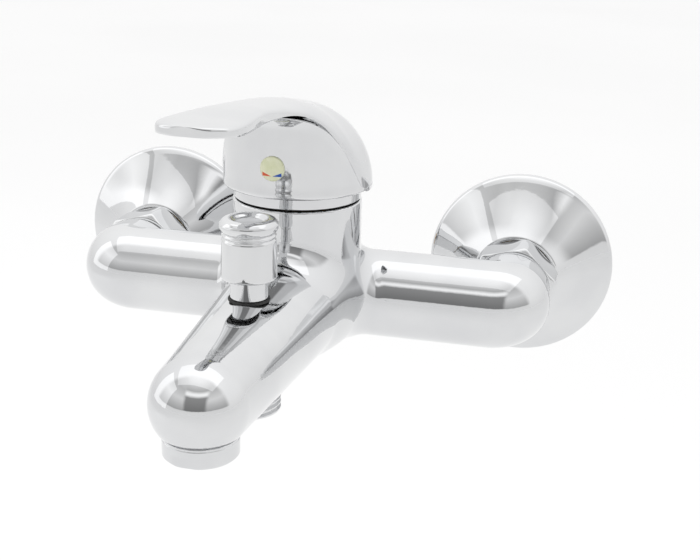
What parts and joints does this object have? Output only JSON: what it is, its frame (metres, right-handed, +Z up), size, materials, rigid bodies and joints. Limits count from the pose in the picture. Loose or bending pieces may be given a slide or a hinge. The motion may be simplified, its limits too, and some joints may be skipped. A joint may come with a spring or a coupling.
{
  "type": "wall mounted bath mixer",
  "caption": "Wall mounted single-lever bath and shower mixer with a tapered spout, pull-up diverter, hose outlet, cone wall covers and union nuts.",
  "frame": {"origin": "on the wall's face, halfway between the two supply inlets", "axes": "+X along the wall to the right as seen from the room, +Y into the wall, +Z up; the spout points along -Y"},
  "size_m": [0.2234, 0.1992, 0.1181],
  "materials": {
    "chrome_body": "bright chrome plate on cast brass",
    "chrome_trim": "bright chrome plate",
    "chrome_handle": "bright chrome plate on cast zinc",
    "brass": "machined",
    "rubber": "moulded, matt",
    "steel": "drawn wire and turned steel",
    "ceramic": "lapped ceramic",
    "white_plastic": "moulded",
    "badge": "cream plug with a red and a blue mark"
  },
  "bodies": {
    "mixer": {"valve_body": "chrome_body", "escutcheon_left": "chrome_trim", "wall_union_left": "brass", "inlet_seat_left": "brass", "union_washer_left": "rubber", "strainer_left": "steel", "escutcheon_right": "chrome_trim", "wall_union_right": "brass", "inlet_seat_right": "brass", "union_washer_right": "rubber", "strainer_right": "steel", "cartridge_base": "white_plastic", "cartridge_seal_cold": "rubber", "cartridge_seal_hot": "rubber", "cartridge_seal_outlet": "rubber", "cartridge_housing": "white_plastic", "ceramic_fixed_disc": "ceramic", "cartridge_clamp_nut": "brass", "body_seal_ring": "rubber", "cover_ring": "chrome_trim", "diverter_bonnet": "chrome_trim", "bonnet_seal": "rubber", "diverter_seat": "brass", "diverter_spring": "steel", "shower_outlet": "chrome_trim", "check_valve_cage": "white_plastic", "check_valve_spring": "steel", "aerator_housing": "chrome_trim", "aerator_insert": "white_plastic", "aerator_washer": "rubber"},
    "turret": {"cartridge_turret": "white_plastic", "pivot_pin": "steel"},
    "lever": {"handle": "chrome_handle", "handle_set_screw": "steel", "index_badge": "badge", "spindle": "steel"},
    "moving_disc": {"ceramic_moving_disc": "ceramic", "disc_carrier": "white_plastic"},
    "diverter_pull": {"diverter_knob": "chrome_trim", "diverter_stem": "brass", "diverter_valve": "rubber"},
    "nut_left": {"union_nut_left": "chrome_trim"},
    "nut_right": {"union_nut_right": "chrome_trim"},
    "poppet": {"check_valve_poppet": "white_plastic"}
  },
  "joints": [
    {"name": "handle_swivel", "type": "hinge", "parent": "mixer", "child": "turret", "pos_m": [0, -0.0698, 0.032], "axis": [0, 0, 1], "range_deg": [-45, 45]},
    {"name": "handle_lift", "type": "hinge", "parent": "turret", "child": "lever", "pos_m": [0, -0.0698, 0.032], "axis": [-0.9985, 0.0541, 0], "range_deg": [0, 24]},
    {"name": "disc_slide", "type": "slide", "parent": "turret", "child": "moving_disc", "axis": [-0.0541, -0.9985, 0], "range_m": [0, 0.0044]},
    {"name": "diverter_lift", "type": "slide", "parent": "mixer", "child": "diverter_pull", "axis": [0, 0, 1], "range_m": [0, 0.008], "stiffness_N_per_m": 250, "springref_m": -0.004, "deforming": ["diverter_spring"]},
    {"name": "nut_left_turn", "type": "hinge", "parent": "mixer", "child": "nut_left", "pos_m": [-0.075, -0.03, 0], "axis": [0, 1, 0], "continuous": true},
    {"name": "nut_right_turn", "type": "hinge", "parent": "mixer", "child": "nut_right", "pos_m": [0.075, -0.03, 0], "axis": [0, 1, 0], "continuous": true},
    {"name": "poppet_open", "type": "slide", "parent": "mixer", "child": "poppet", "axis": [0, 0, -1], "range_m": [0, 0.0025], "stiffness_N_per_m": 120, "springref_m": -0.003, "deforming": ["check_valve_spring"]}
  ],
  "couplings": [
    {"joint": "disc_slide", "follows": "handle_lift", "m_per_rad": 0.0102}
  ]
}
